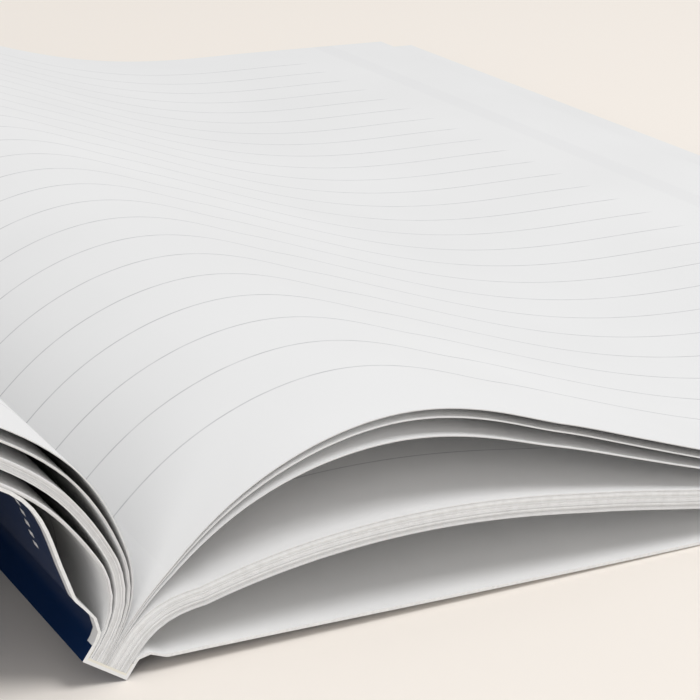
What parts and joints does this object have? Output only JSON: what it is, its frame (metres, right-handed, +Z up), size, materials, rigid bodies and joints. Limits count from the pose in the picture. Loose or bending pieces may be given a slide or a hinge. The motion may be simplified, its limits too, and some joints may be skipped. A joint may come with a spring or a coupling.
{
  "type": "pilot logbook",
  "caption": "Soft-cover pilot logbook lying open face up: arched ruled leaves glued at a narrow spine inside one wrap-around card cover.",
  "frame": {"origin": "middle of the flat part of the back cover, on its underside, at floor level", "axes": "+X from the spine toward the back cover's fore edge, +Y from the foot of the pages to the head, +Z up"},
  "size_m": [0.2926, 0.2032, 0.0273],
  "materials": {
    "leaf_paper": "matte uncoated paper with pale grey rules",
    "cover_card": "laminated card, navy outside and white inside",
    "binding_glue": "satin hot-melt glue"
  },
  "bodies": {
    "back_cover_slope": {"back_cover_slope": "cover_card"},
    "back_cover_flat": {"back_cover_flat": "cover_card"},
    "right_leaf_block_rise": {"right_leaf_block_rise": "leaf_paper"},
    "right_leaf_block_crest": {"right_leaf_block_crest": "leaf_paper"},
    "right_leaf_block_slope": {"right_leaf_block_slope": "leaf_paper"},
    "right_leaf_block_flat": {"right_leaf_block_flat": "leaf_paper"},
    "right_third_leaf_rise": {"right_third_leaf_rise": "leaf_paper"},
    "right_third_leaf_crest": {"right_third_leaf_crest": "leaf_paper"},
    "right_third_leaf_slope": {"right_third_leaf_slope": "leaf_paper"},
    "right_third_leaf_flat": {"right_third_leaf_flat": "leaf_paper"},
    "right_second_leaf_rise": {"right_second_leaf_rise": "leaf_paper"},
    "right_second_leaf_crest": {"right_second_leaf_crest": "leaf_paper"},
    "right_second_leaf_slope": {"right_second_leaf_slope": "leaf_paper"},
    "right_second_leaf_flat": {"right_second_leaf_flat": "leaf_paper"},
    "right_top_leaf_rise": {"right_top_leaf_rise": "leaf_paper"},
    "right_top_leaf_crest": {"right_top_leaf_crest": "leaf_paper"},
    "right_top_leaf_slope": {"right_top_leaf_slope": "leaf_paper"},
    "right_top_leaf_flat": {"right_top_leaf_flat": "leaf_paper"},
    "front_cover_crease": {"front_cover_crease": "cover_card"},
    "front_cover_rise": {"front_cover_rise": "cover_card"},
    "front_cover_crest": {"front_cover_crest": "cover_card"},
    "front_cover_slope": {"front_cover_slope": "cover_card"},
    "front_cover_flat": {"front_cover_flat": "cover_card"},
    "left_last_leaves_rise": {"left_last_leaves_rise": "leaf_paper"},
    "left_last_leaves_crest": {"left_last_leaves_crest": "leaf_paper"},
    "left_last_leaves_slope": {"left_last_leaves_slope": "leaf_paper"},
    "left_last_leaves_flat": {"left_last_leaves_flat": "leaf_paper"},
    "left_leaf_block_rise": {"left_leaf_block_rise": "leaf_paper"},
    "left_leaf_block_crest": {"left_leaf_block_crest": "leaf_paper"},
    "left_leaf_block_slope": {"left_leaf_block_slope": "leaf_paper"},
    "left_leaf_block_flat": {"left_leaf_block_flat": "leaf_paper"},
    "left_second_leaves_rise": {"left_second_leaves_rise": "leaf_paper"},
    "left_second_leaves_crest": {"left_second_leaves_crest": "leaf_paper"},
    "left_second_leaves_slope": {"left_second_leaves_slope": "leaf_paper"},
    "left_second_leaves_flat": {"left_second_leaves_flat": "leaf_paper"},
    "left_top_leaf_rise": {"left_top_leaf_rise": "leaf_paper"},
    "left_top_leaf_crest": {"left_top_leaf_crest": "leaf_paper"},
    "left_top_leaf_slope": {"left_top_leaf_slope": "leaf_paper"},
    "left_top_leaf_flat": {"left_top_leaf_flat": "leaf_paper"},
    "spine": {"spine_card": "cover_card", "spine_glue": "binding_glue", "back_side_glue": "binding_glue", "front_side_glue": "binding_glue", "bound_leaf_edges": "leaf_paper"}
  },
  "joints": [
    {"name": "book_close", "type": "hinge", "parent": "spine", "child": "back_cover_slope", "pos_m": [-0.11524, 0, 0.00149], "axis": [0, -1, 0], "range_deg": [0, 56.97]},
    {"name": "back_cover_flat_fold", "type": "hinge", "parent": "back_cover_slope", "child": "back_cover_flat", "pos_m": [-0.03625, 0, 0.00015], "axis": [0, 1, 0], "range_deg": [0, 0.97426]},
    {"name": "right_leaf_block_rise_fold", "type": "hinge", "parent": "spine", "child": "right_leaf_block_rise", "pos_m": [-0.11573, 0, 0.00291], "axis": [0, 1, 0], "range_deg": [-36.5, 0]},
    {"name": "right_leaf_block_crest_fold", "type": "hinge", "parent": "right_leaf_block_rise", "child": "right_leaf_block_crest", "pos_m": [-0.10159, 0, 0.00792], "axis": [0, 1, 0], "range_deg": [-17.5, 0]},
    {"name": "right_leaf_block_slope_fold", "type": "hinge", "parent": "right_leaf_block_crest", "child": "right_leaf_block_slope", "pos_m": [-0.0806, 0, 0.00865], "axis": [0, 1, 0], "range_deg": [-9.13, 0]},
    {"name": "right_leaf_block_flat_fold", "type": "hinge", "parent": "right_leaf_block_slope", "child": "right_leaf_block_flat", "pos_m": [-0.02305, 0, 0.00145], "axis": [0, 1, 0], "range_deg": [0, 7.13]},
    {"name": "right_third_leaf_rise_fold", "type": "hinge", "parent": "spine", "child": "right_third_leaf_rise", "pos_m": [-0.11663, 0, 0.00352], "axis": [0, 1, 0], "range_deg": [-13, 0]},
    {"name": "right_third_leaf_crest_fold", "type": "hinge", "parent": "right_third_leaf_rise", "child": "right_third_leaf_crest", "pos_m": [-0.10647, 0, 0.013], "axis": [0, 1, 0], "range_deg": [-29.5, 0]},
    {"name": "right_third_leaf_slope_fold", "type": "hinge", "parent": "right_third_leaf_crest", "child": "right_third_leaf_slope", "pos_m": [-0.08897, 0, 0.0172], "axis": [0, 1, 0], "range_deg": [-26.1, 0]},
    {"name": "right_third_leaf_flat_fold", "type": "hinge", "parent": "right_third_leaf_slope", "child": "right_third_leaf_flat", "pos_m": [-0.02456, 0, 0.0028], "axis": [0, 1, 0], "range_deg": [0, 12.6]},
    {"name": "right_second_leaf_rise_fold", "type": "hinge", "parent": "spine", "child": "right_second_leaf_rise", "pos_m": [-0.11675, 0, 0.0036], "axis": [0, 1, 0], "range_deg": [-11, 0]},
    {"name": "right_second_leaf_crest_fold", "type": "hinge", "parent": "right_second_leaf_rise", "child": "right_second_leaf_crest", "pos_m": [-0.10671, 0, 0.01364], "axis": [0, 1, 0], "range_deg": [-28, 0]},
    {"name": "right_second_leaf_slope_fold", "type": "hinge", "parent": "right_second_leaf_crest", "child": "right_second_leaf_slope", "pos_m": [-0.0893, 0, 0.01896], "axis": [0, 1, 0], "range_deg": [-30.4, 0]},
    {"name": "right_second_leaf_flat_fold", "type": "hinge", "parent": "right_second_leaf_slope", "child": "right_second_leaf_flat", "pos_m": [-0.02316, 0, 0.0032], "axis": [0, 1, 0], "range_deg": [0, 13.4]},
    {"name": "right_top_leaf_rise_fold", "type": "hinge", "parent": "spine", "child": "right_top_leaf_rise", "pos_m": [-0.11687, 0, 0.00368], "axis": [0, 1, 0], "range_deg": [-10, 0]},
    {"name": "right_top_leaf_crest_fold", "type": "hinge", "parent": "right_top_leaf_rise", "child": "right_top_leaf_crest", "pos_m": [-0.10672, 0, 0.01418], "axis": [0, 1, 0], "range_deg": [-28, 0]},
    {"name": "right_top_leaf_slope_fold", "type": "hinge", "parent": "right_top_leaf_crest", "child": "right_top_leaf_slope", "pos_m": [-0.08941, 0, 0.0198], "axis": [0, 1, 0], "range_deg": [-31.34, 0]},
    {"name": "right_top_leaf_flat_fold", "type": "hinge", "parent": "right_top_leaf_slope", "child": "right_top_leaf_flat", "pos_m": [-0.0213, 0, 0.00365], "axis": [0, 1, 0], "range_deg": [0, 13.34]},
    {"name": "front_cover_crease_fold", "type": "hinge", "parent": "spine", "child": "front_cover_crease", "pos_m": [-0.11895, 0, 0.004], "axis": [0, 1, 0], "range_deg": [0, 54]},
    {"name": "front_cover_swing", "type": "hinge", "parent": "front_cover_crease", "child": "front_cover_rise", "pos_m": [-0.12132, 0, 0.01006], "axis": [0, -1, 0], "range_deg": [0, 120]},
    {"name": "front_cover_crest_fold", "type": "hinge", "parent": "front_cover_rise", "child": "front_cover_crest", "pos_m": [-0.1233, 0, 0.01593], "axis": [0, 1, 0], "range_deg": [0, 50]},
    {"name": "front_cover_slope_fold", "type": "hinge", "parent": "front_cover_crest", "child": "front_cover_slope", "pos_m": [-0.14021, 0, 0.02209], "axis": [0, 1, 0], "range_deg": [0, 43.97]},
    {"name": "front_cover_flat_fold", "type": "hinge", "parent": "front_cover_slope", "child": "front_cover_flat", "pos_m": [-0.18955, 0, 0.00015], "axis": [0, 1, 0], "range_deg": [-23.97, 0]},
    {"name": "left_last_leaves_rise_fold", "type": "hinge", "parent": "spine", "child": "left_last_leaves_rise", "pos_m": [-0.11853, 0, 0.004], "axis": [0, 1, 0], "range_deg": [0, 51.5]},
    {"name": "left_last_leaves_crest_fold", "type": "hinge", "parent": "left_last_leaves_rise", "child": "left_last_leaves_crest", "pos_m": [-0.12256, 0, 0.01678], "axis": [0, 1, 0], "range_deg": [0, 50.5]},
    {"name": "left_last_leaves_slope_fold", "type": "hinge", "parent": "left_last_leaves_crest", "child": "left_last_leaves_slope", "pos_m": [-0.13925, 0, 0.02352], "axis": [0, 1, 0], "range_deg": [0, 42.7]},
    {"name": "left_last_leaves_flat_fold", "type": "hinge", "parent": "left_last_leaves_slope", "child": "left_last_leaves_flat", "pos_m": [-0.20005, 0, 0.00055], "axis": [0, 1, 0], "range_deg": [-20.7, 0]},
    {"name": "left_leaf_block_rise_fold", "type": "hinge", "parent": "spine", "child": "left_leaf_block_rise", "pos_m": [-0.11783, 0, 0.00389], "axis": [0, 1, 0], "range_deg": [0, 48.5]},
    {"name": "left_leaf_block_crest_fold", "type": "hinge", "parent": "left_leaf_block_rise", "child": "left_leaf_block_crest", "pos_m": [-0.12139, 0, 0.01764], "axis": [0, 1, 0], "range_deg": [0, 51.5]},
    {"name": "left_leaf_block_slope_fold", "type": "hinge", "parent": "left_leaf_block_crest", "child": "left_leaf_block_slope", "pos_m": [-0.13801, 0, 0.02504], "axis": [0, 1, 0], "range_deg": [0, 43.74]},
    {"name": "left_leaf_block_flat_fold", "type": "hinge", "parent": "left_leaf_block_slope", "child": "left_leaf_block_flat", "pos_m": [-0.2039, 0, 0.0014], "axis": [0, 1, 0], "range_deg": [-19.74, 0]},
    {"name": "left_second_leaves_rise_fold", "type": "hinge", "parent": "spine", "child": "left_second_leaves_rise", "pos_m": [-0.11719, 0, 0.00379], "axis": [0, 1, 0], "range_deg": [0, 45]},
    {"name": "left_second_leaves_crest_fold", "type": "hinge", "parent": "left_second_leaves_rise", "child": "left_second_leaves_crest", "pos_m": [-0.12001, 0, 0.01832], "axis": [0, 1, 0], "range_deg": [0, 53]},
    {"name": "left_second_leaves_slope_fold", "type": "hinge", "parent": "left_second_leaves_crest", "child": "left_second_leaves_slope", "pos_m": [-0.13655, 0, 0.02638], "axis": [0, 1, 0], "range_deg": [0, 44.99]},
    {"name": "left_second_leaves_flat_fold", "type": "hinge", "parent": "left_second_leaves_slope", "child": "left_second_leaves_flat", "pos_m": [-0.20652, 0, 0.0023], "axis": [0, 1, 0], "range_deg": [-18.99, 0]},
    {"name": "left_top_leaf_rise_fold", "type": "hinge", "parent": "spine", "child": "left_top_leaf_rise", "pos_m": [-0.11698, 0, 0.00375], "axis": [0, 1, 0], "range_deg": [0, 43]},
    {"name": "left_top_leaf_crest_fold", "type": "hinge", "parent": "left_top_leaf_rise", "child": "left_top_leaf_crest", "pos_m": [-0.11938, 0, 0.01887], "axis": [0, 1, 0], "range_deg": [0, 54]},
    {"name": "left_top_leaf_slope_fold", "type": "hinge", "parent": "left_top_leaf_crest", "child": "left_top_leaf_slope", "pos_m": [-0.13595, 0, 0.02731], "axis": [0, 1, 0], "range_deg": [0, 45.52]},
    {"name": "left_top_leaf_flat_fold", "type": "hinge", "parent": "left_top_leaf_slope", "child": "left_top_leaf_flat", "pos_m": [-0.20896, 0, 0.00285], "axis": [0, 1, 0], "range_deg": [-18.52, 0]}
  ],
  "couplings": [
    {"joint": "back_cover_flat_fold", "follows": "book_close", "ratio": 0.0171},
    {"joint": "right_leaf_block_rise_fold", "follows": "book_close", "ratio": -0.64064},
    {"joint": "right_leaf_block_crest_fold", "follows": "book_close", "ratio": -0.30716},
    {"joint": "right_leaf_block_slope_fold", "follows": "book_close", "ratio": -0.16027},
    {"joint": "right_leaf_block_flat_fold", "follows": "book_close", "ratio": 0.12517},
    {"joint": "right_third_leaf_rise_fold", "follows": "book_close", "ratio": -0.22817},
    {"joint": "right_third_leaf_crest_fold", "follows": "book_close", "ratio": -0.51778},
    {"joint": "right_third_leaf_slope_fold", "follows": "book_close", "ratio": -0.45817},
    {"joint": "right_third_leaf_flat_fold", "follows": "book_close", "ratio": 0.22122},
    {"joint": "right_second_leaf_rise_fold", "follows": "book_close", "ratio": -0.19307},
    {"joint": "right_second_leaf_crest_fold", "follows": "book_close", "ratio": -0.49145},
    {"joint": "right_second_leaf_slope_fold", "follows": "book_close", "ratio": -0.5336},
    {"joint": "right_second_leaf_flat_fold", "follows": "book_close", "ratio": 0.23522},
    {"joint": "right_top_leaf_rise_fold", "follows": "book_close", "ratio": -0.17552},
    {"joint": "right_top_leaf_crest_fold", "follows": "book_close", "ratio": -0.49145},
    {"joint": "right_top_leaf_slope_fold", "follows": "book_close", "ratio": -0.5501},
    {"joint": "right_top_leaf_flat_fold", "follows": "book_close", "ratio": 0.23417},
    {"joint": "front_cover_crease_fold", "follows": "book_close", "ratio": 0.9478},
    {"joint": "front_cover_crest_fold", "follows": "book_close", "ratio": 0.87759},
    {"joint": "front_cover_slope_fold", "follows": "book_close", "ratio": 0.77177},
    {"joint": "front_cover_flat_fold", "follows": "book_close", "ratio": -0.42074},
    {"joint": "left_last_leaves_rise_fold", "follows": "book_close", "ratio": 0.90392},
    {"joint": "left_last_leaves_crest_fold", "follows": "book_close", "ratio": 0.88637},
    {"joint": "left_last_leaves_slope_fold", "follows": "book_close", "ratio": 0.74941},
    {"joint": "left_last_leaves_flat_fold", "follows": "book_close", "ratio": -0.36327},
    {"joint": "left_leaf_block_rise_fold", "follows": "book_close", "ratio": 0.85126},
    {"joint": "left_leaf_block_crest_fold", "follows": "book_close", "ratio": 0.90392},
    {"joint": "left_leaf_block_slope_fold", "follows": "book_close", "ratio": 0.76767},
    {"joint": "left_leaf_block_flat_fold", "follows": "book_close", "ratio": -0.34643},
    {"joint": "left_second_leaves_rise_fold", "follows": "book_close", "ratio": 0.78983},
    {"joint": "left_second_leaves_crest_fold", "follows": "book_close", "ratio": 0.93024},
    {"joint": "left_second_leaves_slope_fold", "follows": "book_close", "ratio": 0.78968},
    {"joint": "left_second_leaves_flat_fold", "follows": "book_close", "ratio": -0.33334},
    {"joint": "left_top_leaf_rise_fold", "follows": "book_close", "ratio": 0.75473},
    {"joint": "left_top_leaf_crest_fold", "follows": "book_close", "ratio": 0.9478},
    {"joint": "left_top_leaf_slope_fold", "follows": "book_close", "ratio": 0.79899},
    {"joint": "left_top_leaf_flat_fold", "follows": "book_close", "ratio": -0.3251}
  ]
}
